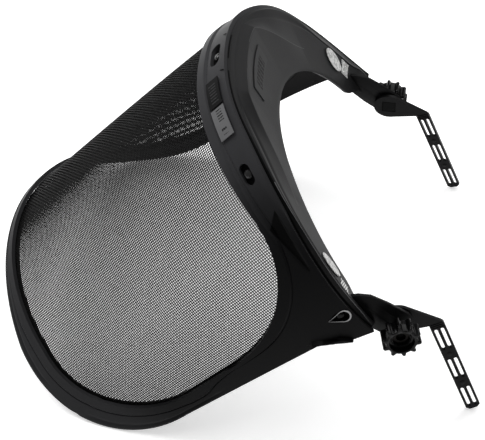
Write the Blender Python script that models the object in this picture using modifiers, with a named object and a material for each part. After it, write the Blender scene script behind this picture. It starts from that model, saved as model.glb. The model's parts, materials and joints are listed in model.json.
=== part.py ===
"""Mesh face shield that hangs on the side slots of a safety helmet.

A brow guard carries a curved frame with a wire mesh screen. At each temple the guard has an ear,
which a bolt and a hand knob clamp to a flat bracket, and the bracket's slotted blade plugs into the
helmet. The shield is drawn as it is worn: +X is the wearer's left, -Y is forward, +Z is up, and the
pivot bolts cross Y = 0 close to Z = 0. The parent empty "shield" then tips it back until it rests on a
table, on the chin corners of its frame and on the tips of its blades.
"""
import math

import bmesh
import bpy
from mathutils import Matrix, Vector

# Visor surface: an upright half ellipse at the rim that opens towards the chin.
RIM_HALF_WIDTH = 0.108
RIM_DEPTH = 0.146
RIM_CENTRE_Y = -0.010
RIM_BULGE = 0.0019
BULGE_RISE = 24.0
BULGE_FALL = (38.0, 30.0)
CHIN_HALF_WIDTH = 0.127
CHIN_DEPTH = 0.126
CHIN_CENTRE_Y = -0.031
FLARE_TOP = 0.010
FLARE_LENGTH = 0.070
ARC_PER_DEGREE = 0.00215
CREST_HEIGHT = 0.0170
CREST_DROP = 0.0192
CREST_SHOULDER = 30.0
CREST_FALL = 61.0

# Window in the frame: angles round the face in degrees, heights in metres.
WINDOW_TOP = -0.005
WINDOW_BOTTOM = -0.186
WINDOW_SIDE = 76.3
TOP_CORNER = (49.0, -0.078)
LOW_CORNER = (44.5, -0.112)
LOW_CORNER_RISE = 0.006

# Outline of the frame, in the same angles and heights.
CREST_END = (88.2, -0.0024)
WING_BACK = (87.3, -0.0128)
WING_FOOT = (84.6, -0.0175)
SIDE_TOP = (83.8, -0.0280)
SIDE_FOOT = (81.3, -0.125)
CHIN_CORNER = 40.0
CHIN_BOTTOM = -0.197
CHIN_RISE = 0.004
CHIN_ROUNDNESS = 2.3
FRAME_COLUMNS = 56

# Layers of the visor, outside to inside.
FRAME_THICK = 0.0022
GAP = 0.0004
MESH_THICK = 0.0008
RING_THICK = 0.0014
MESH_MARGIN = 0.004
LIP_WIDTH = 0.006
LIP_RISE = 0.0006

# Brow guard.
GUARD_THICK = 0.0024
SKIRT_INSET = 0.0028
SKIRT_DEPTH = 0.0120
GUARD_END = 87.5
OPENING_HALF_WIDTH = 0.0862
OPENING_DEPTH = 0.1070
OPENING_CENTRE_Y = 0.0028
OPENING_POWER = 0.97
OPENING_HEIGHT = 0.0075
OPENING_DROP = 0.0230
RIDGE_RISE = 0.0070
BEAD_RISE = 0.0020
BEAD_WIDTH = 0.0022
BEAD_FADE = (82.0, 6.0)
SHOULDER = 0.0042
SHOULDER_RISE = (46.0, 18.0)
SHOULDER_FALL = (77.0, 9.0)
END_TUCK = 0.46
END_TUCK_START = (69.0, 16.0)

# Temple pivots. The bracket's inner face lies at 0 on the pivot axis, and the rest stacks outwards.
PIVOT_X = 0.091
PIVOT_Z = -0.0016
PIVOT_TILT = math.radians(10.0)
BRACKET_THICK = 0.0021
WASHER_THICK = 0.0004
EAR_THICK = 0.0021
EAR_ROUND = 0.0098
STACK_GAP = 0.0003
KNOB_HEIGHT = 0.0092
KNOB_RADIUS = 0.0091
KNOB_LOBE = 0.0024
KNOB_LOBES = 10
DISH_RADIUS = 0.0073
DISH_DEEP = 0.0042
KNOB_BACKED_OFF = {"left": 0.0056, "right": 0.0}
BOLT_RADIUS = 0.0025
HOLE_RADIUS = 0.0028
WASHER_RADIUS = 0.0070
INSERT_RADIUS = 0.0045
INSERT_TOP = 0.0046
BOLT_HEAD = 0.0084
BOLT_HEAD_DEEP = 0.0010
RECESS = 0.0092
RECESS_DEEP = 0.0013
BOLT_LENGTH = 0.0136

# Bracket, in the plane of its plate: back is +, up is +.
HEAD_RADIUS = 0.0100
BEND = (0.0215, 0.0116)
BEND_RADIUS = 0.0044
BLADE_LENGTH = 0.0768
BLADE_SLOPE = math.radians(-25.0)
BLADE_HALF = 0.00435
BLADE_HEEL = -0.0018
TIP_ROUND = 0.0020
SLOT_LENGTH = 0.0181
SLOT_WIDTH = 0.0021
SLOT_OFFSET = 0.0019
SLOT_FIRST = 0.0026
SLOT_PITCH = 0.0269
SLOT_COUNT = 3

# Small parts.
STUD_HEAD = 0.0026
STUD_SHANK = 0.0013
STUD_HOLE = 0.0017
TAG_LOW = 0.0025
TAG_HIGH = 0.0120
TAG_THICK = 0.0005
LABEL_THICK = 0.0004
LABEL_LIFT = 0.0006
ROUND_LABEL = (0.756, 0.592)
ROUND_LABEL_SIZE = (0.0165, 0.0144)
TEXT_LABEL = (0.836, 0.585)
TEXT_LABEL_SIZE = (0.0048, 0.0112)
TEXT_LABEL_TURN = 24.0
BADGE = (0.0, 0.665)
BADGE_SIZE = (0.0380, 0.0120)

CENTRE_STUD = (0.0, 0.0086)
SIDE_STUD = (39.5, 0.0060)
END_STUD = (80.0, -0.0075)
SIDES = {"left": 1, "right": -1}
RECESS_TURN = Matrix.Rotation(math.radians(45.0), 4, "Z")

EAR_IN = BRACKET_THICK + WASHER_THICK + 2 * STACK_GAP
KNOB_IN = EAR_IN + EAR_THICK + STACK_GAP
MESH_OUT = -(FRAME_THICK + GAP)
RING_OUT = MESH_OUT - MESH_THICK - GAP


def clear_scene():
    for item in list(bpy.data.objects):
        bpy.data.objects.remove(item, do_unlink=True)


def new_collection(name):
    group = bpy.data.collections.new(name)
    bpy.context.scene.collection.children.link(group)
    return group


def finish(name, colour, roughness, metallic=0.0):
    """A plain Principled material."""
    mat = bpy.data.materials.new(name)
    mat.use_nodes = True
    shader = mat.node_tree.nodes["Principled BSDF"]
    shader.inputs["Base Color"].default_value = (*colour, 1.0)
    shader.inputs["Roughness"].default_value = roughness
    shader.inputs["Metallic"].default_value = metallic
    return mat


def place(name, mesh, group, parent, mat=None):
    """Links a mesh as an object under a parent empty."""
    item = bpy.data.objects.new(name, mesh)
    group.objects.link(item)
    item.parent = parent
    if mat is not None:
        mesh.materials.clear()
        mesh.materials.append(mat)
    return item


def smooth(item, angle=35.0):
    item.data.shade_smooth()
    item.data.set_sharp_from_angle(angle=math.radians(angle))


def mesh_of(bm, name):
    bm.normal_update()
    mesh = bpy.data.meshes.new(name)
    bm.to_mesh(mesh)
    bm.free()
    return mesh


def surface_mesh(name, point, columns, rows):
    """A grid bent into a surface: point(u, v) gives its place, with u and v from 0 to 1."""
    bm = bmesh.new()
    bmesh.ops.create_grid(bm, x_segments=columns, y_segments=rows, size=1.0)
    for vert in bm.verts:
        vert.co = point((vert.co.x + 1) / 2, (vert.co.y + 1) / 2)
    return mesh_of(bm, name)


def plate_mesh(name, outline, thick):
    """A flat outline in XY, extruded from Z = 0 to Z = thick."""
    curve = bpy.data.curves.new(name, "CURVE")
    curve.dimensions = "2D"
    curve.fill_mode = "BOTH"
    curve.extrude = thick / 2
    spline = curve.splines.new("POLY")
    spline.points.add(len(outline) - 1)
    for point, (x, y) in zip(spline.points, outline):
        point.co = (x, y, 0.0, 1.0)
    spline.use_cyclic_u = True
    holder = bpy.data.objects.new(name, curve)
    bpy.context.scene.collection.objects.link(holder)
    depsgraph = bpy.context.evaluated_depsgraph_get()
    mesh = bpy.data.meshes.new_from_object(holder.evaluated_get(depsgraph))
    bpy.data.objects.remove(holder)
    bm = bmesh.new()
    bm.from_mesh(mesh)
    bmesh.ops.remove_doubles(bm, verts=bm.verts, dist=1e-6)
    bmesh.ops.translate(bm, verts=bm.verts, vec=(0.0, 0.0, thick / 2))
    bmesh.ops.recalc_face_normals(bm, faces=bm.faces)
    bm.to_mesh(mesh)
    bm.free()
    return mesh


def cylinder_mesh(name, radius, low, high, segments=32):
    """A cylinder round Z from low to high."""
    bm = bmesh.new()
    bmesh.ops.create_cone(
        bm, cap_ends=True, segments=segments, radius1=radius, radius2=radius, depth=high - low
    )
    bmesh.ops.translate(bm, verts=bm.verts, vec=(0.0, 0.0, (low + high) / 2))
    return mesh_of(bm, name)


def box_mesh(name, size, centre=(0.0, 0.0, 0.0)):
    bm = bmesh.new()
    bmesh.ops.create_cube(bm, size=1.0)
    bmesh.ops.scale(bm, verts=bm.verts, vec=size)
    bmesh.ops.translate(bm, verts=bm.verts, vec=centre)
    return mesh_of(bm, name)


def turned(name, profile, group, parent, mat, segments=40):
    """A profile of (radius, height) points, top to bottom down its outer side, turned round Z."""
    mesh = bpy.data.meshes.new(name)
    points = [(radius, 0.0, height) for radius, height in profile]
    edges = [(i, i + 1) for i in range(len(points) - 1)]
    if profile[0][0] > 0:
        edges.append((len(points) - 1, 0))
    mesh.from_pydata(points, edges, [])
    item = place(name, mesh, group, parent, mat)
    screw = item.modifiers.new("turn", "SCREW")
    screw.axis = "Z"
    screw.angle = 2 * math.pi
    screw.steps = segments
    screw.render_steps = segments
    screw.use_merge_vertices = True
    screw.merge_threshold = 0.00001
    screw.use_smooth_shade = True
    return item


def boolean(item, tool, operation="DIFFERENCE"):
    mod = item.modifiers.new(tool.name, "BOOLEAN")
    mod.operation = operation
    mod.solver = "EXACT"
    mod.object = tool
    return mod


def solidify(item, thick):
    mod = item.modifiers.new("thickness", "SOLIDIFY")
    mod.thickness = thick
    mod.offset = -1.0
    mod.use_even_offset = True
    return mod


def mirror(item):
    mod = item.modifiers.new("other_half", "MIRROR")
    mod.use_axis = (True, False, False)
    mod.merge_threshold = 0.00005
    return mod


def bevel(item, width, segments=2, angle=50.0):
    mod = item.modifiers.new("edges", "BEVEL")
    mod.width = width
    mod.segments = segments
    mod.limit_method = "ANGLE"
    mod.angle_limit = math.radians(angle)
    return mod


def mix(low, high, t):
    return low + (high - low) * t


def ease(t):
    t = min(1.0, max(0.0, t))
    return t * t * (3 - 2 * t)


# ---- the visor's surface -------------------------------------------------------------------


def visor_point(degrees, height, out=0.0):
    """A point at an angle round the face and a height, moved outwards by `out`."""
    flare = 1 - math.exp(-max(0.0, FLARE_TOP - height) / FLARE_LENGTH)
    half_width = mix(RIM_HALF_WIDTH, CHIN_HALF_WIDTH, flare)
    depth = mix(RIM_DEPTH, CHIN_DEPTH, flare)
    centre_y = mix(RIM_CENTRE_Y, CHIN_CENTRE_Y, flare)
    angle = math.radians(degrees)
    base = Vector((half_width * math.sin(angle), centre_y - depth * math.cos(angle), height))
    normal = Vector((math.sin(angle) / half_width, -math.cos(angle) / depth, 0.0)).normalized()
    turn = abs(degrees)
    bulge = ease(turn / BULGE_RISE) * (1 - ease((turn - BULGE_FALL[0]) / BULGE_FALL[1]))
    return base + normal * (out + RIM_BULGE * (1 - flare) * bulge)


def visor_frame_at(degrees, height):
    """Matrix at the visor's outer face, whose Z points straight out of it and whose Y points up."""
    side = (visor_point(degrees + 1, height) - visor_point(degrees - 1, height)).normalized()
    rise = visor_point(degrees, height + 0.001) - visor_point(degrees, height - 0.001)
    normal = side.cross(rise).normalized()
    turn = Matrix((side, normal.cross(side), normal)).transposed().to_4x4()
    return Matrix.Translation(visor_point(degrees, height)) @ turn


def crest(degrees):
    """Height of the visor's top edge, where the guard meets it."""
    return CREST_HEIGHT - CREST_DROP * ease((degrees - CREST_SHOULDER) / CREST_FALL)


def window_top(degrees, margin=0.0):
    corner, level = TOP_CORNER
    if degrees <= corner:
        return WINDOW_TOP + margin
    reach = WINDOW_SIDE - corner + margin / ARC_PER_DEGREE
    part = min(1.0, (degrees - corner) / reach)
    return level + (WINDOW_TOP - level + margin) * math.sqrt(1 - part * part)


def window_bottom(degrees, margin=0.0):
    corner, level = LOW_CORNER
    low = WINDOW_BOTTOM + LOW_CORNER_RISE
    if degrees <= corner:
        return WINDOW_BOTTOM + LOW_CORNER_RISE * (degrees / corner) ** 2 - margin
    reach = WINDOW_SIDE - corner + margin / ARC_PER_DEGREE
    part = min(1.0, (degrees - corner) / reach)
    return level + (low - level - margin) * math.sqrt(1 - part * part)


def window_edge(u, margin=0.0):
    """Half of the window's outline, from top centre (u = 0) round the side to bottom centre."""
    side = WINDOW_SIDE + margin / ARC_PER_DEGREE
    if u < 0.24:
        degrees = TOP_CORNER[0] * u / 0.24
        return degrees, window_top(degrees, margin)
    if u < 0.50:
        part = math.radians(90 * (u - 0.24) / 0.26)
        degrees = mix(TOP_CORNER[0], side, math.sin(part))
        return degrees, window_top(degrees, margin)
    if u < 0.60:
        return side, mix(TOP_CORNER[1], LOW_CORNER[1], (u - 0.50) / 0.10)
    if u < 0.86:
        part = math.radians(90 * (u - 0.60) / 0.26)
        degrees = mix(LOW_CORNER[0], side, math.cos(part))
        return degrees, window_bottom(degrees, margin)
    degrees = LOW_CORNER[0] * (1 - u) / 0.14
    return degrees, window_bottom(degrees, margin)


def along(stops, t):
    """Straight runs between (t, angle, height) stops."""
    for (t0, a0, h0), (t1, a1, h1) in zip(stops[:-1], stops[1:]):
        if t <= t1:
            part = (t - t0) / (t1 - t0)
            return mix(a0, a1, part), mix(h0, h1, part)
    return stops[-1][1:]


def frame_edge(u):
    """Half of the frame's outline, with the same meaning of u as window_edge."""
    crest_part = 22 / FRAME_COLUMNS
    if u < crest_part:
        degrees = CREST_END[0] * u / crest_part
        return degrees, crest(degrees) - 0.0004
    side_part = 34 / FRAME_COLUMNS
    chin_part = 49 / FRAME_COLUMNS
    if u < side_part:
        stops = [
            (crest_part, *CREST_END),
            (25 / FRAME_COLUMNS, *WING_BACK),
            (27 / FRAME_COLUMNS, *WING_FOOT),
            (29 / FRAME_COLUMNS, *SIDE_TOP),
            (side_part, *SIDE_FOOT),
        ]
        return along(stops, u)
    if u < chin_part:
        part = math.radians(90 * (u - side_part) / (chin_part - side_part))
        power = 2 / CHIN_ROUNDNESS
        degrees = mix(CHIN_CORNER, SIDE_FOOT[0], math.cos(part) ** power)
        return degrees, mix(SIDE_FOOT[1], CHIN_BOTTOM, math.sin(part) ** power)
    part = (1 - u) / (1 - chin_part)
    return CHIN_CORNER * part, CHIN_BOTTOM + CHIN_RISE * (1 - part * part)


def frame_point(u, v):
    """The frame's outer face: v = 0 at the window, 1 at the outer edge, a raised lip first."""
    inner = window_edge(u)
    outer = frame_edge(u)
    arc = math.hypot((outer[0] - inner[0]) * ARC_PER_DEGREE, outer[1] - inner[1])
    lip = min(0.45, LIP_WIDTH / arc)
    stops = [(0.0, 0.0, LIP_RISE), (0.2, lip, LIP_RISE), (0.4, lip * 1.15, 0.0), (1.0, 1.0, 0.0)]
    part, rise = along(stops, v)
    return visor_point(mix(inner[0], outer[0], part), mix(inner[1], outer[1], part), rise)


def build_visor(group, tools, parent, finishes):
    frame = place(
        "visor_frame",
        surface_mesh("visor_frame", frame_point, FRAME_COLUMNS, 5),
        group,
        parent,
        finishes["frame"],
    )
    mirror(frame)
    solidify(frame, FRAME_THICK)
    slots = [("centre_slot", CENTRE_STUD, 0.0180, 0.0074, 0.0)]
    for label, side in SIDES.items():
        angle, height = SIDE_STUD
        slots.append(("side_slot_" + label, (side * angle, height), 0.0125, 0.0062, -0.05 * side))
        angle, height = END_STUD
        slots.append(("end_slot_" + label, (side * angle, height), 0.0130, 0.0072, 0.55 * side))
    for name, (angle, height), length, width, turn in slots:
        tool = slot_tool(name, length, width, tools, parent)
        tool.matrix_local = visor_frame_at(angle, height) @ Matrix.Rotation(turn, 4, "Z")
        boolean(frame, tool)
    smooth(frame)

    def mesh_point(u, v):
        degrees = (WINDOW_SIDE + MESH_MARGIN / ARC_PER_DEGREE) * math.sin(math.radians(90 * u))
        low = window_bottom(degrees, MESH_MARGIN)
        high = window_top(degrees, MESH_MARGIN)
        return visor_point(degrees, mix(low, high, v), MESH_OUT)

    screen = place(
        "mesh_screen", surface_mesh("mesh_screen", mesh_point, 20, 6), group, parent, finishes["mesh"]
    )
    mirror(screen)
    solidify(screen, MESH_THICK)
    smooth(screen)

    def ring_point(u, v):
        degrees, height = window_edge(u, MESH_MARGIN * v)
        return visor_point(degrees, height, RING_OUT)

    ring = place(
        "mesh_retaining_ring",
        surface_mesh("mesh_retaining_ring", ring_point, 50, 1),
        group,
        parent,
        finishes["frame"],
    )
    mirror(ring)
    solidify(ring, RING_THICK)
    smooth(ring)


def slot_tool(name, length, width, tools, parent):
    """A round-ended slot, standing through the visor's wall."""
    ends = 8
    radius = width / 2
    outline = []
    for centre, start in ((length / 2 - radius, -90), (radius - length / 2, 90)):
        for i in range(ends + 1):
            angle = math.radians(start + 180 * i / ends)
            outline.append((centre + radius * math.cos(angle), radius * math.sin(angle)))
    mesh = plate_mesh(name, outline, 0.006)
    mesh.transform(Matrix.Translation((0.0, 0.0, -0.004)))
    return cutter(name, mesh, tools, parent)


def cutter(name, mesh, tools, parent):
    tool = place(name, mesh, tools, parent)
    tool.hide_render = True
    tool.display_type = "WIRE"
    return tool


# ---- the brow guard ------------------------------------------------------------------------


def opening_point(degrees):
    """The guard's inner edge, round the helmet's brow."""
    angle = math.radians(degrees)
    return Vector((
        OPENING_HALF_WIDTH * math.sin(angle) ** OPENING_POWER,
        OPENING_CENTRE_Y - OPENING_DEPTH * math.cos(angle) ** OPENING_POWER,
        OPENING_HEIGHT - OPENING_DROP * (1 - math.cos(angle)) ** 1.15,
    ))


def guard_point(u, v):
    """The guard's outer face: v = 0 at the skirt's foot, 1 at the opening's edge."""
    degrees = GUARD_END * u
    if v < 0.25:
        drop = SKIRT_DEPTH * (0.25 - v) / 0.25
        return visor_point(degrees, crest(degrees) - drop, -SKIRT_INSET)
    rim = visor_point(degrees, crest(degrees), -SKIRT_INSET)
    ridge = 0.12 + 0.50 * ease((degrees - 8) / 34) - 0.28 * ease((degrees - 46) / 12)
    rise = RIDGE_RISE * (1 - ease((degrees - 5) / 50))
    tuck = END_TUCK * ease((degrees - END_TUCK_START[0]) / END_TUCK_START[1])
    inner = opening_point(degrees).lerp(rim, tuck)
    shoulder = ease((degrees - SHOULDER_RISE[0]) / SHOULDER_RISE[1])
    shoulder *= 1 - ease((degrees - SHOULDER_FALL[0]) / SHOULDER_FALL[1])
    bead = (BEAD_WIDTH + SHOULDER * shoulder) / (inner - rim).length
    ridge = max(ridge, bead + 0.15)
    fade = 1 - ease((degrees - BEAD_FADE[0]) / BEAD_FADE[1])
    rise = max(rise, BEAD_RISE * fade * (1 - ridge) / (1 - bead))
    stops = [(0.25, 0.0, 0.0), (0.375, bead, BEAD_RISE * fade), (0.5, ridge, rise), (1.0, 1.0, 0.0)]
    part, lift = along(stops, v)
    point = rim.lerp(inner, part)
    return point + Vector((0.0, 0.0, lift))


def ear_outline(side):
    """Ear in the plane of the bracket: a tongue that ends round the bolt."""
    top = [(-0.0370, -0.0050), (-0.0330, -0.0004), (-0.0270, 0.0034), (-0.0160, 0.0056)]
    round_end = []
    for i in range(17):
        angle = math.radians(90 - 180 * i / 16)
        round_end.append((EAR_ROUND * math.cos(angle) - 0.0010, EAR_ROUND * math.sin(angle) - 0.0022))
    bottom = [(-0.0120, -0.0135), (-0.0290, -0.0138), (-0.0360, -0.0112)]
    return [(side * back, up - PIVOT_Z) for back, up in top + round_end + bottom]


def build_guard(group, tools, parent, pivots, finishes):
    guard = place(
        "brow_guard", surface_mesh("brow_guard", guard_point, 44, 8), group, parent,
        finishes["guard"],
    )
    mirror(guard)
    solidify(guard, GUARD_THICK)
    for label, side in SIDES.items():
        ear_mesh = plate_mesh("ear_" + label, ear_outline(side), EAR_THICK)
        ear = cutter("ear_" + label, ear_mesh, tools, pivots[label])
        ear.matrix_local = plate_turn(EAR_IN)
        boolean(guard, ear, "UNION")
        hole_mesh = cylinder_mesh("ear_hole_" + label, HOLE_RADIUS, 0.0, 0.012)
        hole = cutter("ear_hole_" + label, hole_mesh, tools, pivots[label])
        hole.matrix_local = plate_turn(0.0)
        boolean(guard, hole)
    for name, (angle, height) in stud_places().items():
        hole_mesh = cylinder_mesh("hole_" + name, STUD_HOLE, -0.008, 0.002, 16)
        hole = cutter("hole_" + name, hole_mesh, tools, parent)
        hole.matrix_local = visor_frame_at(angle, height)
        boolean(guard, hole)
    smooth(guard)


def plate_turn(distance):
    """Turns XY outlines into the bracket's plane, `distance` out along the pivot's axis."""
    turn = Matrix(((0.0, 0.0, 1.0), (1.0, 0.0, 0.0), (0.0, 1.0, 0.0))).to_4x4()
    return Matrix.Translation((distance, 0.0, 0.0)) @ turn


# ---- temple pivots -------------------------------------------------------------------------


def bracket_outline(side):
    """Round head, arm that tapers to the bend, and the straight blade, counter-clockwise."""
    bend = Vector(BEND)
    blade = Vector((math.cos(BLADE_SLOPE), math.sin(BLADE_SLOPE)))
    blade_up = Vector((-blade.y, blade.x))
    reach = bend.length
    arm_angle = math.atan2(bend.y, bend.x)
    taper = math.acos((HEAD_RADIUS - BEND_RADIUS) / reach)
    tip = bend + blade * BLADE_LENGTH
    heel = bend - blade_up * BLADE_HALF + blade * BLADE_HEEL
    low_angle = math.atan2(heel.y, heel.x) - math.acos(HEAD_RADIUS / heel.length)
    points = [
        tip - blade_up * (BLADE_HALF - TIP_ROUND),
        tip + blade_up * (BLADE_HALF - TIP_ROUND),
        tip + blade_up * BLADE_HALF - blade * TIP_ROUND,
    ]
    blade_start = math.atan2(blade_up.y, blade_up.x)
    for i in range(9):
        angle = mix(blade_start, arm_angle + taper, i / 8)
        points.append(bend + Vector((math.cos(angle), math.sin(angle))) * BEND_RADIUS)
    for i in range(25):
        angle = mix(arm_angle + taper, low_angle + 2 * math.pi, i / 24)
        points.append(Vector((math.cos(angle), math.sin(angle))) * HEAD_RADIUS)
    points.append(heel)
    points.append(tip - blade_up * BLADE_HALF - blade * TIP_ROUND)
    return [(side * p.x, p.y) for p in points]


def knob_outline():
    """Narrow lobes round a circle, with wide scallops between them."""
    outline = []
    for lobe in range(KNOB_LOBES):
        for offset, reach in ((-0.5, 0.0), (-0.30, 0.12), (-0.15, 0.70), (-0.06, 0.97),
                              (0.06, 0.97), (0.15, 0.70), (0.30, 0.12)):
            angle = 2 * math.pi * (lobe + offset) / KNOB_LOBES
            radius = KNOB_RADIUS + KNOB_LOBE * reach
            outline.append((radius * math.cos(angle), radius * math.sin(angle)))
    return outline


def build_pivot(label, side, pivot, group, tools, finishes):
    bracket_mesh = plate_mesh("pivot_bracket_" + label, bracket_outline(side), BRACKET_THICK)
    bracket = place("pivot_bracket_" + label, bracket_mesh, group, pivot, finishes["bracket"])
    bracket.matrix_local = plate_turn(0.0)
    recess_mesh = box_mesh("recess_" + label, (RECESS, RECESS, 2 * RECESS_DEEP))
    through_mesh = cylinder_mesh("bracket_hole_" + label, HOLE_RADIUS, -0.002, 0.006)
    for mesh in (recess_mesh, through_mesh):
        tool = cutter(mesh.name, mesh, tools, pivot)
        tool.matrix_local = plate_turn(0.0) @ RECESS_TURN
        boolean(bracket, tool)
    slot_row = cutter("slots_" + label, slots_mesh("slots_" + label, side), tools, pivot)
    slot_row.matrix_local = plate_turn(0.0)
    boolean(bracket, slot_row)
    smooth(bracket)

    bolt_mesh = cylinder_mesh("bolt_shank_" + label, BOLT_RADIUS, 0.0005, BOLT_LENGTH)
    shank = cutter("bolt_shank_" + label, bolt_mesh, tools, pivot)
    shank.matrix_local = plate_turn(0.0)
    head_mesh = box_mesh(
        "pivot_bolt_" + label,
        (BOLT_HEAD, BOLT_HEAD, BOLT_HEAD_DEEP - 0.0001),
        (0.0, 0.0, BOLT_HEAD_DEEP / 2),
    )
    bolt = place("pivot_bolt_" + label, head_mesh, group, pivot, finishes["steel"])
    bolt.matrix_local = plate_turn(0.0) @ RECESS_TURN
    boolean(bolt, shank, "UNION")
    smooth(bolt)

    washer_profile = [
        (HOLE_RADIUS, WASHER_THICK),
        (WASHER_RADIUS, WASHER_THICK),
        (WASHER_RADIUS, 0.0),
        (HOLE_RADIUS, 0.0),
    ]
    washer = turned("friction_washer_" + label, washer_profile, group, pivot, finishes["steel"], 28)
    washer.matrix_local = plate_turn(BRACKET_THICK + STACK_GAP)

    knob_in = KNOB_IN + KNOB_BACKED_OFF[label]
    insert_profile = [
        (HOLE_RADIUS, INSERT_TOP),
        (INSERT_RADIUS, INSERT_TOP),
        (INSERT_RADIUS, 0.0003),
        (HOLE_RADIUS, 0.0003),
    ]
    insert = turned("knob_insert_" + label, insert_profile, group, pivot, finishes["brass"], 24)
    insert.matrix_local = plate_turn(knob_in)

    knob_mesh = plate_mesh("knob_" + label, knob_outline(), KNOB_HEIGHT)
    knob = place("knob_" + label, knob_mesh, group, pivot, finishes["knob"])
    knob.matrix_local = plate_turn(knob_in)
    bevel(knob, 0.0009, 1)
    bore_mesh = cylinder_mesh("knob_bore_" + label, INSERT_RADIUS + 0.0003, -0.001, 0.0068)
    bore = cutter("knob_bore_" + label, bore_mesh, tools, pivot)
    bore.matrix_local = plate_turn(knob_in)
    boolean(knob, bore)
    dish_low = KNOB_HEIGHT - DISH_DEEP
    dish_mesh = cylinder_mesh("knob_dish_" + label, DISH_RADIUS, dish_low, KNOB_HEIGHT + 0.001)
    dish = cutter("knob_dish_" + label, dish_mesh, tools, pivot)
    dish.matrix_local = plate_turn(knob_in)
    boolean(knob, dish)
    smooth(knob)


def slots_mesh(name, side):
    """Three pairs of long slots down the blade, as one tool."""
    bm = bmesh.new()
    blade = Vector((math.cos(BLADE_SLOPE), math.sin(BLADE_SLOPE)))
    turn = Matrix.Rotation(BLADE_SLOPE * side, 4, "Z")
    for i in range(SLOT_COUNT):
        middle = SLOT_FIRST + SLOT_PITCH * i + SLOT_LENGTH / 2
        for offset in (-SLOT_OFFSET, SLOT_OFFSET):
            centre = Vector(BEND) + blade * middle + Vector((-blade.y, blade.x)) * offset
            shape = bmesh.ops.create_cube(bm, size=1.0)["verts"]
            bmesh.ops.scale(bm, verts=shape, vec=(SLOT_LENGTH, SLOT_WIDTH, 0.02))
            bmesh.ops.transform(bm, verts=shape, matrix=turn)
            bmesh.ops.translate(bm, verts=shape, vec=(side * centre.x, centre.y, 0.0))
    return mesh_of(bm, name)


# ---- small parts ---------------------------------------------------------------------------


def stud_places():
    places = {"retaining_stud_centre": CENTRE_STUD}
    for label, side in SIDES.items():
        places["retaining_stud_" + label] = (side * SIDE_STUD[0], SIDE_STUD[1])
        places["end_stud_" + label] = (side * END_STUD[0], END_STUD[1])
    return places


def build_studs(group, parent, finishes):
    """Two-headed studs: the outer head shows in the frame's slot, the inner backs the skirt."""
    outer = -SKIRT_INSET + GAP
    inner = -SKIRT_INSET - GUARD_THICK - GAP
    profile = [
        (0.0, outer + 0.0014),
        (0.0012, outer + 0.0013),
        (0.0021, outer + 0.0010),
        (STUD_HEAD, outer + 0.0005),
        (STUD_HEAD, outer),
        (STUD_SHANK, outer),
        (STUD_SHANK, inner),
        (0.0024, inner),
        (0.0024, inner - 0.0010),
        (0.0, inner - 0.0010),
    ]
    for name, (angle, height) in stud_places().items():
        stud = turned(name, profile, group, parent, finishes["steel"], 14)
        stud.matrix_local = visor_frame_at(angle, height)


def build_tags(group, parent, finishes):
    """Two thin plates on the frame's band, to the left of its centre."""
    for name, start, end, key in (
        ("tag_plate_dark", 10.6, 19.6, "tag_dark"),
        ("tag_plate_light", 20.2, 29.0, "tag_light"),
    ):
        def point(u, v, start=start, end=end):
            return visor_point(mix(start, end, u), mix(TAG_LOW, TAG_HIGH, v), LABEL_LIFT + TAG_THICK)

        plate = place(name, surface_mesh(name, point, 4, 1), group, parent, finishes[key])
        solidify(plate, TAG_THICK)


def guard_skin(u, v, lift):
    """A point above the guard's outer face; a negative u is on the wearer's right."""
    side = -1 if u < 0 else 1
    step = 0.01
    here = guard_point(abs(u), v)
    along_u = guard_point(abs(u) + step, v) - guard_point(max(0.0, abs(u) - step), v)
    along_v = guard_point(abs(u), v + step) - guard_point(abs(u), v - step)
    here += along_u.cross(along_v).normalized() * lift
    return Vector((side * here.x, here.y, here.z))


def sticker_mesh(name, centre, size, lift, round_edge=False, turn=0.0, cells=5):
    """A patch that follows the guard, `size` long round the brow and wide across it."""
    cos_turn = math.cos(math.radians(turn))
    sin_turn = math.sin(math.radians(turn))
    u0, v0 = centre
    side = -1 if u0 < 0 else 1
    step = 0.01
    rate_u = (guard_skin(u0 + step, v0, 0.0) - guard_skin(u0 - step, v0, 0.0)).length / (2 * step)
    rate_v = (guard_skin(u0, v0 + step, 0.0) - guard_skin(u0, v0 - step, 0.0)).length / (2 * step)

    def point(a, b):
        x = 2 * a - 1
        y = 2 * b - 1
        if round_edge:
            x, y = x * math.sqrt(1 - y * y / 2), y * math.sqrt(1 - x * x / 2)
        x *= side * size[0] / 2
        y *= size[1] / 2
        along_brow = x * cos_turn - y * sin_turn
        across_brow = x * sin_turn + y * cos_turn
        return guard_skin(u0 + side * along_brow / rate_u, v0 + across_brow / rate_v, lift)

    return surface_mesh(name, point, cells, cells)


def build_labels(group, parent, finishes):
    """Thin stickers on the guard's flanks and a blank badge on its brow."""
    for label, side in SIDES.items():
        for name, centre, size, is_round, turn in (
            ("round_label_", ROUND_LABEL, ROUND_LABEL_SIZE, True, 0.0),
            ("text_label_", TEXT_LABEL, TEXT_LABEL_SIZE, False, TEXT_LABEL_TURN),
        ):
            spot = (side * centre[0], centre[1])
            mesh = sticker_mesh(name + label, spot, size, LABEL_LIFT + LABEL_THICK, is_round, turn)
            sticker = place(name + label, mesh, group, parent, finishes["label"])
            solidify(sticker, LABEL_THICK)
    mesh = sticker_mesh("badge_plate", BADGE, BADGE_SIZE, LABEL_LIFT + LABEL_THICK)
    badge = place("badge_plate", mesh, group, parent, finishes["badge"])
    solidify(badge, LABEL_THICK)


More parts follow.
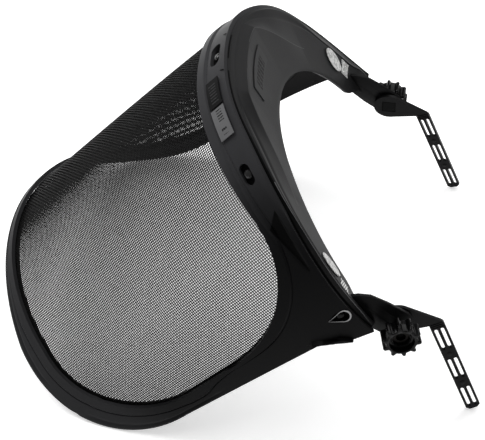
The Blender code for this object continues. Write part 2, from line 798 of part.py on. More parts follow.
def stand_on_table(parent, group):
    """Tips the shield back, then puts the middle of its box's underside on the origin."""
    parent.rotation_euler = (math.radians(REST_TILT), 0.0, 0.0)
    bpy.context.view_layer.update()
    depsgraph = bpy.context.evaluated_depsgraph_get()
    low = Vector((1.0, 1.0, 1.0))
    high = -low
    for item in group.objects:
        if item.type != "MESH":
            continue
        shape = item.evaluated_get(depsgraph)
        for vert in shape.to_mesh().vertices:
            spot = shape.matrix_world @ vert.co
            low = Vector(map(min, low, spot))
            high = Vector(map(max, high, spot))
        shape.to_mesh_clear()
    parent.location = (-(low.x + high.x) / 2, -(low.y + high.y) / 2, -low.z)


REST_TILT = -43.65


def main():
    clear_scene()
    group = new_collection("face_shield")
    tools = new_collection("cutters")
    shield = bpy.data.objects.new("shield", None)
    group.objects.link(shield)
    finishes = {
        "guard": finish("guard_plastic", (0.045, 0.046, 0.048), 0.55),
        "frame": finish("frame_plastic", (0.012, 0.012, 0.013), 0.42),
        "mesh": finish("mesh_steel", (0.010, 0.010, 0.010), 0.45),
        "bracket": finish("bracket_plastic", (0.020, 0.020, 0.022), 0.38),
        "knob": finish("knob_plastic", (0.008, 0.008, 0.009), 0.30),
        "steel": finish("zinc_steel", (0.45, 0.45, 0.46), 0.35, 1.0),
        "brass": finish("brass", (0.70, 0.50, 0.22), 0.30, 1.0),
        "label": finish("label_white", (0.75, 0.75, 0.74), 0.45),
        "tag_dark": finish("tag_dark", (0.008, 0.008, 0.009), 0.50),
        "tag_light": finish("tag_light", (0.22, 0.22, 0.23), 0.50),
        "badge": finish("badge_grey", (0.030, 0.030, 0.032), 0.40),
    }
    pivots = {}
    for label, side in SIDES.items():
        pivot = bpy.data.objects.new("pivot_" + label, None)
        group.objects.link(pivot)
        pivot.parent = shield
        pivot.location = (side * PIVOT_X, 0.0, PIVOT_Z)
        pivot.rotation_euler = (0.0, -PIVOT_TILT, 0.0 if side > 0 else math.pi)
        pivots[label] = pivot
    build_visor(group, tools, shield, finishes)
    build_guard(group, tools, shield, pivots, finishes)
    for label, side in SIDES.items():
        build_pivot(label, side, pivots[label], group, tools, finishes)
    build_studs(group, shield, finishes)
    build_tags(group, shield, finishes)
    build_labels(group, shield, finishes)
    stand_on_table(shield, group)


main()
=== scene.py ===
import json
import math

import bmesh
import bpy
import numpy as np
from mathutils import Matrix, Vector


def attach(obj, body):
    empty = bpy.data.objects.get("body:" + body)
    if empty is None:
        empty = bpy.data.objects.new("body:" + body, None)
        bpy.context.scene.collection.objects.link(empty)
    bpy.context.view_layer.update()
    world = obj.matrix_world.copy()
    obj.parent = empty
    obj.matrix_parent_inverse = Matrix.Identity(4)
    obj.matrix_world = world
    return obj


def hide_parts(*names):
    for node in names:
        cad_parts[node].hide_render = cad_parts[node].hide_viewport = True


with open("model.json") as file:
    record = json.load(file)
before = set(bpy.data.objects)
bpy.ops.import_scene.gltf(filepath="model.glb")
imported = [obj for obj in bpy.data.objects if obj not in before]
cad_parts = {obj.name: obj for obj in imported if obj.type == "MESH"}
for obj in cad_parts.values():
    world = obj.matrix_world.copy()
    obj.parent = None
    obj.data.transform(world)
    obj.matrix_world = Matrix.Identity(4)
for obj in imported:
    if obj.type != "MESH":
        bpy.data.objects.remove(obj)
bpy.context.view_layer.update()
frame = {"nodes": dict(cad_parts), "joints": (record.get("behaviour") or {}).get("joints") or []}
SIDES = {"left": 1, "right": -1}

# ---- sizes, in metres and degrees, in the shield's own upright frame -------------------------

RIM_HALF_WIDTH = 0.108
RIM_DEPTH = 0.146
RIM_CENTRE_Y = -0.010
RIM_BULGE = 0.0019
BULGE_RISE = 24.0
BULGE_FALL = (38.0, 30.0)
CHIN_HALF_WIDTH = 0.127
CHIN_DEPTH = 0.126
CHIN_CENTRE_Y = -0.031
FLARE_TOP = 0.010
FLARE_LENGTH = 0.070
ARC_PER_DEGREE = 0.00215

CREST_TOP = 0.0170
CREST_DROP = 0.0192
CREST_SHOULDER = 30.0
CREST_REACH = 61.0
CREST_GAP = 0.0004

WINDOW_TOP = -0.005
WINDOW_BOTTOM = -0.186
WINDOW_SIDE = 76.3
TOP_CORNER = (49.0, -0.078)
LOW_CORNER = (44.5, -0.112)
LOW_CORNER_RISE = 0.006
SIDE_FOOT = (81.3, -0.125)
CHIN_CORNER = 40.0
CHIN_BOTTOM = -0.197
CHIN_RISE = 0.004
CHIN_ROUNDNESS = 2.3
FRAME_COLUMNS = 56
FRAME_THICK = 0.0026
LIP_WIDTH = 0.006
LIP_RISE = 0.0006
MESH_OUT = -0.0026
MESH_THICK = 0.0008
MESH_MARGIN = 0.004
PITCH = 0.00133
WIRE = 0.00018
WIRE_WIDE = 0.00034

GUARD_THICK = 0.0024
SKIRT_INSET = 0.0028
SKIRT_DEPTH = 0.0120
SKIRT_EXTRA = 0.0045
OPENING_HALF_WIDTH = 0.0862
OPENING_DEPTH = 0.1070
OPENING_CENTRE_Y = 0.0028
OPENING_POWER = 0.97
OPENING_HEIGHT = 0.0075
OPENING_DROP = 0.0230
OPENING_DROP_POWER = 1.15
GUARD_END = 87.5
RIDGE_RISE = 0.0070
BEAD_RISE = 0.0020
BEAD_WIDTH = 0.0022
SHOULDER = 0.0042
EAR_THICK = 0.0021
EAR_ROUND = 0.0098

PIVOT_X = 0.091
PIVOT_Z = -0.0016
PIVOT_TILT = math.radians(10.0)
BRACKET_THICK = 0.0021
EAR_IN = 0.0031
KNOB_IN = EAR_IN + EAR_THICK + 0.0003
KNOB_BACKED_OFF = {"left": 0.0056, "right": 0.0}
KNOB_HEIGHT = 0.0092
KNOB_RADIUS = 0.0091
KNOB_LOBE = 0.0024
KNOB_LOBES = 10
DISH_RADIUS = 0.0073
DISH_DEEP = 0.0042
HOLE_RADIUS = 0.0028
RECESS = 0.0092
RECESS_DEEP = 0.0013
HEAD_RADIUS = 0.0100
BEND = Vector((0.0215, 0.0116))
BEND_RADIUS = 0.0044
BLADE_LENGTH = 0.0768
BLADE_SLOPE = math.radians(-25.0)
BLADE_HALF = 0.00435
BLADE_HEEL = -0.0018
TIP_ROUND = 0.0020
SLOT_LENGTH = 0.0181
SLOT_WIDTH = 0.0021
SLOT_OFFSET = 0.0019
SLOT_FIRST = 0.0026
SLOT_PITCH = 0.0269
CENTRE_STUD = (0.0, 0.0086)
SIDE_STUD = (39.5, 0.0060)
END_STUD = (80.0, -0.0075)
END_TURN = 1.20
SURROUND = (0.0038, 0.0096, 0.0024)
SURROUND_HOLE = (0.0034, 0.0090, 0.0019)
SURROUND_RISE = 0.0004

# the hollow behind the side slots: where it starts and ends, its height and half width there
HOLLOW = (51.5, 66.5)
HOLLOW_MIDDLE = (0.0030, 0.0002)
HOLLOW_HALF = (0.0044, 0.0008)
# how much of the hollow's colour the painted shade takes away
HOLLOW_PAINTED_SHADE = 0.88

# the gap under the guard, in painted shade: the bridge over it, its end on the right side, a slit by each
# in painted shade too
BRIDGE = (4.0, 9.0)
GAP_END = 7.0
SLIT_LENGTH = 0.0030
SLIT_WIDTH = 0.0006
SLIT_RISE = 0.0003
SLIT_DOWN = 0.0019
SLIT_TURN = math.radians(62.0)

# rows of the guard's grid that take painted shade and painted highlights instead of its finish, as shares
# of its way in
GAP_SHADOW_ENDS = (0.292, 0.345)
EDGE_END = 0.354
EDGE_START_TURN = 44.0
RIDGE_HIGHLIGHT_ROWS = (0.4975, 0.5025)
RIDGE_HIGHLIGHT_TURNS = (6.0, 46.0)

# ribs over the blade's bend and round marks along it
RIB_FIRST = -0.0016
RIB_PITCH = 0.0015
RIB_WIDTH = 0.0006
RIB_DEPTH = BRACKET_THICK + 0.0008
MARK_RADIUS = 0.0008
BIG_MARK_RADIUS = 0.0016
MARK_DEPTH = BRACKET_THICK + 0.0005

# ---- where the shield stands -----------------------------------------------------------------

JOINTS = {joint["name"]: joint for joint in frame["joints"]}
LEFT = JOINTS["bracket_left_tilt"]
LEAN = math.atan2(LEFT["axis"][1], LEFT["axis"][2])
TURN = Matrix.Rotation(-LEAN, 4, "X")
PIVOT_AT = Vector((PIVOT_X, 0.0, PIVOT_Z))
SHIELD = Matrix.Translation(Vector(LEFT["pos_m"]) - TURN @ PIVOT_AT) @ TURN


def pivot_frame(side):
    """Frame on a pivot's axis: X out along it, Z up across it."""
    yaw = 0.0 if side > 0 else math.pi
    turn = Matrix.Rotation(yaw, 4, "Z") @ Matrix.Rotation(-PIVOT_TILT, 4, "Y")
    return SHIELD @ Matrix.Translation((side * PIVOT_X, 0.0, PIVOT_Z)) @ turn


def plate_turn(distance):
    """From a plate's own XY plane to one across the pivot's axis, some way out along it."""
    turn = Matrix(((0.0, 0.0, 1.0), (1.0, 0.0, 0.0), (0.0, 1.0, 0.0))).to_4x4()
    return Matrix.Translation((distance, 0.0, 0.0)) @ turn


# ---- small helpers -----------------------------------------------------------------------------


def mix(low, high, t):
    return low + (high - low) * t


def ease(t):
    t = min(1.0, max(0.0, t))
    return t * t * (3 - 2 * t)


def bump(value, centre, width):
    """A smooth hump of height 1 round a value."""
    t = (value - centre) / width
    return math.exp(-t * t)


def along(stops, t):
    """Two values read at t from stops of (t, value, value)."""
    for (t0, a0, b0), (t1, a1, b1) in zip(stops[:-1], stops[1:]):
        if t <= t1:
            part = (t - t0) / (t1 - t0)
            return mix(a0, a1, part), mix(b0, b1, part)
    return stops[-1][1:]


def along_soft(stops, t, soft):
    """along(), with its corners rounded over +-soft."""
    total = [0.0, 0.0]
    weight = 0.0
    for k in (-1.0, -0.6, -0.25, 0.0, 0.25, 0.6, 1.0):
        share = 1.0 - 0.5 * abs(k)
        spot = min(stops[-1][0], max(stops[0][0], t + k * soft))
        a, b = along(stops, spot)
        total[0] += a * share
        total[1] += b * share
        weight += share
    return total[0] / weight, total[1] / weight


# ---- the visor's surface -------------------------------------------------------------------------


def visor_point(degrees, height, out=0.0):
    """A point of the visor's curved surface: round from the front, up, and outwards."""
    flare = 1 - math.exp(-max(0.0, FLARE_TOP - height) / FLARE_LENGTH)
    half_width = mix(RIM_HALF_WIDTH, CHIN_HALF_WIDTH, flare)
    depth = mix(RIM_DEPTH, CHIN_DEPTH, flare)
    centre_y = mix(RIM_CENTRE_Y, CHIN_CENTRE_Y, flare)
    angle = math.radians(degrees)
    base = Vector((half_width * math.sin(angle), centre_y - depth * math.cos(angle), height))
    normal = Vector((math.sin(angle) / half_width, -math.cos(angle) / depth, 0.0)).normalized()
    turn = abs(degrees)
    bulge = ease(turn / BULGE_RISE) * (1 - ease((turn - BULGE_FALL[0]) / BULGE_FALL[1]))
    return base + normal * (out + RIM_BULGE * (1 - flare) * bulge)


def visor_frame_at(degrees, height, out=0.0):
    """A matrix on the visor's surface: X round it, Y up it and Z outwards."""
    side = (visor_point(degrees + 1, height) - visor_point(degrees - 1, height)).normalized()
    rise = visor_point(degrees, height + 0.001) - visor_point(degrees, height - 0.001)
    normal = side.cross(rise).normalized()
    turn = Matrix((side, normal.cross(side), normal)).transposed().to_4x4()
    return Matrix.Translation(visor_point(degrees, height, out)) @ turn


def crest(degrees):
    """Height of the rim where the frame meets the guard."""
    return CREST_TOP - CREST_DROP * ease((degrees - CREST_SHOULDER) / CREST_REACH)


def window_top(degrees, margin=0.0):
    corner, level = TOP_CORNER
    if degrees <= corner:
        return WINDOW_TOP + margin
    reach = WINDOW_SIDE - corner + margin / ARC_PER_DEGREE
    part = min(1.0, (degrees - corner) / reach)
    return level + (WINDOW_TOP - level + margin) * math.sqrt(1 - part * part)


def window_bottom(degrees, margin=0.0):
    corner, level = LOW_CORNER
    low = WINDOW_BOTTOM + LOW_CORNER_RISE
    if degrees <= corner:
        return WINDOW_BOTTOM + LOW_CORNER_RISE * (degrees / corner) ** 2 - margin
    reach = WINDOW_SIDE - corner + margin / ARC_PER_DEGREE
    part = min(1.0, (degrees - corner) / reach)
    return level + (low - level - margin) * math.sqrt(1 - part * part)


def window_edge(u):
    """Half the window's edge, in degrees and height: top, corner, side, corner and bottom."""
    if u < 0.24:
        degrees = TOP_CORNER[0] * u / 0.24
        return degrees, window_top(degrees)
    if u < 0.50:
        part = math.radians(90 * (u - 0.24) / 0.26)
        degrees = mix(TOP_CORNER[0], WINDOW_SIDE, math.sin(part))
        return degrees, window_top(degrees)
    if u < 0.60:
        return WINDOW_SIDE, mix(TOP_CORNER[1], LOW_CORNER[1], (u - 0.50) / 0.10)
    if u < 0.86:
        part = math.radians(90 * (u - 0.60) / 0.26)
        degrees = mix(LOW_CORNER[0], WINDOW_SIDE, math.cos(part))
        return degrees, window_bottom(degrees)
    degrees = LOW_CORNER[0] * (1 - u) / 0.14
    return degrees, window_bottom(degrees)


CREST_PART = 22 / FRAME_COLUMNS
SIDE_PART = 34 / FRAME_COLUMNS
CHIN_PART = 49 / FRAME_COLUMNS
CREST_END = 88.2
EDGE_STOPS = [
    (CREST_PART, CREST_END, -0.0024),
    (25 / FRAME_COLUMNS, 87.3, -0.0128),
    (27 / FRAME_COLUMNS, 84.6, -0.0175),
    (29 / FRAME_COLUMNS, 83.8, -0.0280),
    (SIDE_PART, *SIDE_FOOT),
]


def frame_edge(u):
    """Half the frame's outer edge, in degrees and height: crest, rear side, corner and chin."""
    if u < CREST_PART:
        degrees = CREST_END * u / CREST_PART
        return degrees, crest(degrees) - CREST_GAP
    if u < SIDE_PART:
        return along(EDGE_STOPS, u)
    if u < CHIN_PART:
        part = math.radians(90 * (u - SIDE_PART) / (CHIN_PART - SIDE_PART))
        power = 2 / CHIN_ROUNDNESS
        degrees = mix(CHIN_CORNER, SIDE_FOOT[0], math.cos(part) ** power)
        return degrees, mix(SIDE_FOOT[1], CHIN_BOTTOM, math.sin(part) ** power)
    part = (1 - u) / (1 - CHIN_PART)
    return CHIN_CORNER * part, CHIN_BOTTOM + CHIN_RISE * (1 - part * part)


def step_line(degrees):
    """Height of the fine step along the band."""
    return 0.0012 - 0.0042 * ease((degrees - 24.0) / 30.0)


def frame_relief(degrees, height, part):
    """Fine moulded relief of the frame: grooves, hollows and beads, as a move outwards."""
    relief = 0.0
    # the step along the band
    if height > -0.020 and degrees < 62.0:
        fade = 1 - ease((degrees - 52.0) / 9.0)
        relief -= 0.00055 * fade * bump(height, step_line(degrees), 0.00042)
        relief -= 0.00030 * fade * ease((height - step_line(degrees)) / 0.0006)
    if HOLLOW[0] < degrees < HOLLOW[1]:
        part = (degrees - HOLLOW[0]) / (HOLLOW[1] - HOLLOW[0])
        middle = mix(HOLLOW_MIDDLE[0], HOLLOW_MIDDLE[1], part)
        width = mix(HOLLOW_HALF[0], HOLLOW_HALF[1], part)
        ends = ease(part / 0.12) * ease((1 - part) / 0.15)
        relief -= 0.0005 * ends * ease((width - abs(height - middle)) / 0.0008)
    # a small dimple low on the flank
    relief -= 0.0007 * bump(degrees, 78.5, 0.45) * bump(height, -0.105, 0.0010)
    # a groove and a bead along the chin
    if height < -0.1:
        relief -= 0.00045 * bump(part, 0.80, 0.055)
        relief += 0.00020 * bump(part, 0.93, 0.05)
    return relief


def frame_point(u, v):
    inner = window_edge(u)
    outer = frame_edge(u)
    arc = math.hypot((outer[0] - inner[0]) * ARC_PER_DEGREE, outer[1] - inner[1])
    lip = min(0.45, LIP_WIDTH / arc)
    # rows are close together by the lip and even across the rest
    across = v if v > 0.32 else v * (lip * 1.3) / 0.32
    if v > 0.32:
        across = mix(lip * 1.3, 1.0, (v - 0.32) / 0.68)
    rise = LIP_RISE * (1 - ease((across - lip) / (lip * 0.16)))
    rise -= 0.0004 * bump(across, lip * 1.20, lip * 0.05)
    degrees = mix(inner[0], outer[0], across)
    height = mix(inner[1], outer[1], across)
    rise += frame_relief(degrees, height, across)
    return visor_point(degrees, height, rise)


# ---- the guard's surface -------------------------------------------------------------------------


def opening_point(degrees):
    """A point of the guard's inner edge, round the helmet's brow."""
    angle = math.radians(degrees)
    return Vector((
        OPENING_HALF_WIDTH * math.sin(angle) ** OPENING_POWER,
        OPENING_CENTRE_Y - OPENING_DEPTH * math.cos(angle) ** OPENING_POWER,
        OPENING_HEIGHT - OPENING_DROP * (1 - math.cos(angle)) ** OPENING_DROP_POWER,
    ))


def guard_point(u, v):
    """The guard's upper face: v runs up the skirt to 0.25, then over bead and ridge to the brow."""
    degrees = GUARD_END * u
    if v < 0.25:
        depth = SKIRT_DEPTH + SKIRT_EXTRA * (1 - ease((degrees - 80.0) / 6.0))
        drop = depth * (0.25 - v) / 0.25
        return visor_point(degrees, crest(degrees) - drop, -SKIRT_INSET)
    rim = visor_point(degrees, crest(degrees), -SKIRT_INSET)
    # how far in the ridge runs, and how high it stands
    ridge = 0.12 + 0.50 * ease((degrees - 8) / 34) - 0.28 * ease((degrees - 46) / 12)
    rise = RIDGE_RISE * (1 - ease((degrees - 5) / 50))
    # by the ears the inner edge moves out towards the rim
    tuck = 0.46 * ease((degrees - 69.0) / 16.0)
    inner = opening_point(degrees).lerp(rim, tuck)
    # the bead broadens to a shoulder on the flanks
    shoulder = ease((degrees - 46.0) / 18.0)
    shoulder *= 1 - ease((degrees - 77.0) / 9.0)
    bead = (BEAD_WIDTH + SHOULDER * shoulder) / (inner - rim).length
    ridge = max(ridge, bead + 0.15)
    fade = (1 - ease((degrees - 82.0) / 6.0)) * (0.35 + 0.65 * ease((degrees - 4.0) / 34.0))
    rise = max(rise, BEAD_RISE * fade * (1 - ridge) / (1 - bead))
    stops = [(0.25, 0.0, 0.0), (0.375, bead, BEAD_RISE * fade), (0.5, ridge, rise), (1.0, 1.0, 0.0)]
    part, lift = along_soft(stops, v, 0.013)
    # a thin groove runs inside the bead
    lift -= 0.0006 * fade * bump(v, 0.402, 0.009)
    if v > 0.97:
        lift -= 0.0005 * ease((v - 0.97) / 0.03)
    return rim.lerp(inner, part) + Vector((0.0, 0.0, lift))


# ---- meshes and pieces ---------------------------------------------------------------------------


def grid_mesh(name, point, us, vs, two_sided=False, finish_at=None):
    """A grid of point(u, v); two_sided mirrors it across X = 0 with the seam welded.

    finish_at(column, row) gives each face's material index; mirrored columns follow the others.
    """
    columns = len(us)
    rows = len(vs)
    verts = [point(u, v) for u in us for v in vs]
    faces = []
    for i in range(columns - 1):
        for j in range(rows - 1):
            a = i * rows + j
            faces.append((a, a + rows, a + rows + 1, a + 1))
    if two_sided:
        start = len(verts)
        verts += [Vector((-p.x, p.y, p.z)) for p in verts]
        faces += [tuple(start + k for k in reversed(face)) for face in faces]
    mesh = bpy.data.meshes.new(name)
    mesh.from_pydata([tuple(p) for p in verts], [], faces)
    if finish_at:
        for k, face in enumerate(mesh.polygons):
            face.material_index = finish_at(k // (rows - 1), k % (rows - 1))
    bm = bmesh.new()
    bm.from_mesh(mesh)
    bmesh.ops.remove_doubles(bm, verts=bm.verts, dist=0.00004)
    bm.to_mesh(mesh)
    bm.free()
    return mesh


def place(name, mesh, matrix, mat):
    if mat is not None:
        mesh.materials.append(mat)
    item = bpy.data.objects.new(name, mesh)
    bpy.context.scene.collection.objects.link(item)
    item.matrix_world = matrix
    return item


def piece(item, body, slot, *stands_for):
    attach(item, body)
    if stands_for:
        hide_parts(*stands_for)
    return item


def smooth(item, angle=40.0):
    item.data.shade_smooth()
    item.data.set_sharp_from_angle(angle=math.radians(angle))


def modifier(item, kind, **values):
    mod = item.modifiers.new(kind.lower(), kind)
    for key, value in values.items():
        setattr(mod, key, value)
    return mod


def round_edges(item, width):
    modifier(
        item, "BEVEL", width=width, segments=2, limit_method="ANGLE",
        angle_limit=math.radians(50.0), use_clamp_overlap=True,
    )


def bake(item):
    """Turns an object's modifiers into its mesh."""
    depsgraph = bpy.context.evaluated_depsgraph_get()
    mesh = bpy.data.meshes.new_from_object(item.evaluated_get(depsgraph))
    item.modifiers.clear()
    item.data = mesh
    return item


def plate_mesh(name, outlines, thick):
    """Flat outlines in XY, the first round the rest, from Z = 0 to thick."""
    curve = bpy.data.curves.new(name, "CURVE")
    curve.dimensions = "2D"
    curve.fill_mode = "BOTH"
    curve.extrude = thick / 2
    for outline in outlines:
        spline = curve.splines.new("POLY")
        spline.points.add(len(outline) - 1)
        for point, (x, y) in zip(spline.points, outline):
            point.co = (x, y, 0.0, 1.0)
        spline.use_cyclic_u = True
    holder = bpy.data.objects.new(name, curve)
    bpy.context.scene.collection.objects.link(holder)
    depsgraph = bpy.context.evaluated_depsgraph_get()
    mesh = bpy.data.meshes.new_from_object(holder.evaluated_get(depsgraph))
    bpy.data.objects.remove(holder)
    bm = bmesh.new()
    bm.from_mesh(mesh)
    bmesh.ops.remove_doubles(bm, verts=bm.verts, dist=1e-6)
    bmesh.ops.translate(bm, verts=bm.verts, vec=(0.0, 0.0, thick / 2))
    bmesh.ops.recalc_face_normals(bm, faces=bm.faces)
    bm.to_mesh(mesh)
    bm.free()
    return mesh


def circle(radius, steps=40, centre=(0.0, 0.0)):
    turns = [2 * math.pi * i / steps for i in range(steps)]
    return [(centre[0] + radius * math.cos(t), centre[1] + radius * math.sin(t)) for t in turns]


def slot_outline(length, width, centre=(0.0, 0.0), turn=0.0, ends=8):
    radius = width / 2
    outline = []
    for middle, start in ((length / 2 - radius, -90), (radius - length / 2, 90)):
        for i in range(ends + 1):
            angle = math.radians(start + 180 * i / ends)
            x = middle + radius * math.cos(angle)
            y = radius * math.sin(angle)
            outline.append((
                centre[0] + x * math.cos(turn) - y * math.sin(turn),
                centre[1] + x * math.sin(turn) + y * math.cos(turn),
            ))
    return outline


def teardrop(radius, reach, shift):
    """Round at +X and pointed at -X."""
    points = [(shift - reach, 0.0)]
    open_half = math.acos(radius / reach)
    for i in range(25):
        angle = math.pi + open_half + (2 * math.pi - 2 * open_half) * i / 24
        points.append((shift + radius * math.cos(angle), radius * math.sin(angle)))
    return points


# ---- finishes ------------------------------------------------------------------------------------


def finish(name, colour, roughness, specular=0.25, grain=0.0, grain_scale=1500.0, metallic=0.0,
           vary=0.10, shade=None):
    """Principled finish with procedural mottle in its colour and roughness, and a fine grain."""
    mat = bpy.data.materials.new(name)
    mat.use_nodes = True
    tree = mat.node_tree
    shader = tree.nodes["Principled BSDF"]
    shader.inputs["Metallic"].default_value = metallic
    shader.inputs["Specular IOR Level"].default_value = specular
    coords = tree.nodes.new("ShaderNodeTexCoord")
    mottle = tree.nodes.new("ShaderNodeTexNoise")
    mottle.inputs["Scale"].default_value = 60.0
    mottle.inputs["Detail"].default_value = 5.0
    tree.links.new(coords.outputs["Object"], mottle.inputs["Vector"])
    tone = tree.nodes.new("ShaderNodeMix")
    tone.data_type = "RGBA"
    dark = [c * (1 - vary) for c in colour]
    light = [min(1.0, c * (1 + vary)) for c in colour]
    tone.inputs["A"].default_value = (*dark, 1.0)
    tone.inputs["B"].default_value = (*light, 1.0)
    tree.links.new(mottle.outputs["Fac"], tone.inputs["Factor"])
    last = tone.outputs["Result"]
    if shade:
        last = shade(tree, coords, last)
    tree.links.new(last, shader.inputs["Base Color"])
    rough = tree.nodes.new("ShaderNodeMapRange")
    rough.inputs["To Min"].default_value = roughness - 0.05
    rough.inputs["To Max"].default_value = roughness + 0.05
    tree.links.new(mottle.outputs["Fac"], rough.inputs["Value"])
    tree.links.new(rough.outputs["Result"], shader.inputs["Roughness"])
    if grain:
        fine = tree.nodes.new("ShaderNodeTexNoise")
        fine.inputs["Scale"].default_value = grain_scale
        fine.inputs["Detail"].default_value = 3.0
        tree.links.new(coords.outputs["Object"], fine.inputs["Vector"])
        lift = tree.nodes.new("ShaderNodeBump")
        lift.inputs["Strength"].default_value = grain
        lift.inputs["Distance"].default_value = 0.0002
        tree.links.new(fine.outputs["Fac"], lift.inputs["Height"])
        tree.links.new(lift.outputs["Normal"], shader.inputs["Normal"])
    return mat


def along_axis(tree, vector, direction, start=0.0):
    """How far a vector socket lies along a direction, from a start."""
    dot = tree.nodes.new("ShaderNodeVectorMath")
    dot.operation = "DOT_PRODUCT"
    dot.inputs[1].default_value = direction
    tree.links.new(vector, dot.inputs[0])
    less = tree.nodes.new("ShaderNodeMath")
    less.operation = "SUBTRACT"
    less.inputs[1].default_value = start
    tree.links.new(dot.outputs["Value"], less.inputs[0])
    return less.outputs["Value"]


def math_node(tree, operation, first, second):
    node = tree.nodes.new("ShaderNodeMath")
    node.operation = operation
    for slot, value in enumerate((first, second)):
        if isinstance(value, (int, float)):
            node.inputs[slot].default_value = value
        elif value is not None:
            tree.links.new(value, node.inputs[slot])
    return node.outputs["Value"]


def ramp(tree, value, low, high, low_gain, high_gain):
    node = tree.nodes.new("ShaderNodeMapRange")
    node.interpolation_type = "SMOOTHSTEP"
    node.inputs["From Min"].default_value = low
    node.inputs["From Max"].default_value = high
    node.inputs["To Min"].default_value = low_gain
    node.inputs["To Max"].default_value = high_gain
    tree.links.new(value, node.inputs["Value"])
    return node.outputs["Result"]


def scaled(tree, last, gain):
    node = tree.nodes.new("ShaderNodeVectorMath")
    node.operation = "SCALE"
    tree.links.new(last, node.inputs["Vector"])
    tree.links.new(gain, node.inputs["Scale"])
    return node.outputs["Vector"]


def guard_painted_shade(tree, coords, last):
    """Painted shade: the rear ends of the guard are a little darker than its top."""
    back = along_axis(tree, coords.outputs["Object"], (0, 1, 0))
    return scaled(tree, last, ramp(tree, back, -0.070, -0.030, 1.0, 0.72))


def frame_painted_light_and_shade(tree, coords, last):
    """Painted light and shade: the band and the chin are lighter than the flanks, which have a hollow in
    painted shade.
    """
    height = along_axis(tree, coords.outputs["Object"], (0, 0, 1))
    high = ramp(tree, height, -0.030, -0.006, 0.0, 1.0)
    across = math_node(tree, "ABSOLUTE", along_axis(tree, coords.outputs["Object"], (1, 0, 0)), None)
    front = ramp(tree, across, 0.060, 0.100, 6.0, 0.0)
    low = ramp(tree, height, -0.170, -0.125, 4.2, 0.8)
    gain = math_node(tree, "ADD", math_node(tree, "MULTIPLY", high, front), low)
    # painted shade in the long hollow behind the side slots
    start = visor_point(HOLLOW[0], HOLLOW_MIDDLE[0])
    along_it = visor_point(HOLLOW[1], HOLLOW_MIDDLE[1]) - start
    length = along_it.length
    along_it.normalize()
    across_it = along_it.cross(visor_frame_at(59.0, 0.0).col[2].to_3d()).normalized()
    # X is folded over, so that both sides match
    split = tree.nodes.new("ShaderNodeSeparateXYZ")
    tree.links.new(coords.outputs["Object"], split.inputs["Vector"])
    joined = tree.nodes.new("ShaderNodeCombineXYZ")
    tree.links.new(across, joined.inputs["X"])
    tree.links.new(split.outputs["Y"], joined.inputs["Y"])
    tree.links.new(split.outputs["Z"], joined.inputs["Z"])
    far = along_axis(tree, joined.outputs["Vector"], along_it, start.dot(along_it))
    over = along_axis(tree, joined.outputs["Vector"], across_it, start.dot(across_it))
    half = ramp(tree, far, 0.0, length, *HOLLOW_HALF)
    inside = math_node(tree, "SUBTRACT", half, math_node(tree, "ABSOLUTE", over, None))
    inside = ramp(tree, inside, -0.0002, 0.0004, 0.0, 1.0)
    slanted = math_node(tree, "SUBTRACT", far, math_node(tree, "MULTIPLY", over, 0.9))
    inside = math_node(tree, "MULTIPLY", inside, ramp(tree, slanted, 0.0, 0.0010, 0.0, 1.0))
    inside = math_node(tree, "MULTIPLY", inside, ramp(tree, far, length - 0.001, length, 1.0, 0.0))
    inside = math_node(tree, "MULTIPLY", inside, -HOLLOW_PAINTED_SHADE)
    return scaled(tree, last, math_node(tree, "MULTIPLY", gain, math_node(tree, "ADD", inside, 1.0)))


def plate_axes(node):
    """Middle of a thin plate and its long and short directions."""
    points = np.array([v.co[:] for v in frame["nodes"][node].data.vertices])
    middle = (points.min(0) + points.max(0)) / 2
    values, vectors = np.linalg.eigh(np.cov((points - points.mean(0)).T))
    long_way = vectors[:, 2] * (1 if vectors[1, 2] > 0 else -1)
    short_way = vectors[:, 1] * (1 if vectors[2, 1] > 0 else -1)
    return Vector(middle), Vector(long_way), Vector(short_way)


def printed(node, count_per_m, ink, share, long_range, short_range, rows="long"):
    """A shade of unreadable print on part of a plate; the ranges are metres from its middle."""
    middle, long_way, short_way = plate_axes(node)

    def shade(tree, coords, last):
        far = along_axis(tree, coords.outputs["Object"], long_way, middle.dot(long_way))
        over = along_axis(tree, coords.outputs["Object"], short_way, middle.dot(short_way))
        value = math_node(tree, "ADD", far if rows == "long" else over, 1.0)
        row = math_node(tree, "FRACT", math_node(tree, "MULTIPLY", value, count_per_m), None)
        row = math_node(tree, "LESS_THAN", row, share)
        for spot, (low, high) in ((far, long_range), (over, short_range)):
            row = math_node(tree, "MULTIPLY", row, math_node(tree, "GREATER_THAN", spot, low))
            row = math_node(tree, "MULTIPLY", row, math_node(tree, "LESS_THAN", spot, high))
        marks = tree.nodes.new("ShaderNodeTexNoise")
        marks.inputs["Scale"].default_value = 900.0
        marks.inputs["Detail"].default_value = 1.0
        tree.links.new(coords.outputs["Object"], marks.inputs["Vector"])
        broken = math_node(tree, "GREATER_THAN", marks.outputs["Fac"], 0.39)
        blend = tree.nodes.new("ShaderNodeMix")
        blend.data_type = "RGBA"
        blend.inputs["B"].default_value = (*ink, 1.0)
        tree.links.new(math_node(tree, "MULTIPLY", row, broken), blend.inputs["Factor"])
        tree.links.new(last, blend.inputs["A"])
        return blend.outputs["Result"]

    return shade


def ring_print(tree, coords, last):
    marks = tree.nodes.new("ShaderNodeTexNoise")
    marks.inputs["Scale"].default_value = 420.0
    marks.inputs["Detail"].default_value = 2.0
    tree.links.new(coords.outputs["Object"], marks.inputs["Vector"])
    return scaled(tree, last, ramp(tree, marks.outputs["Fac"], 0.50, 0.56, 1.0, 0.62))


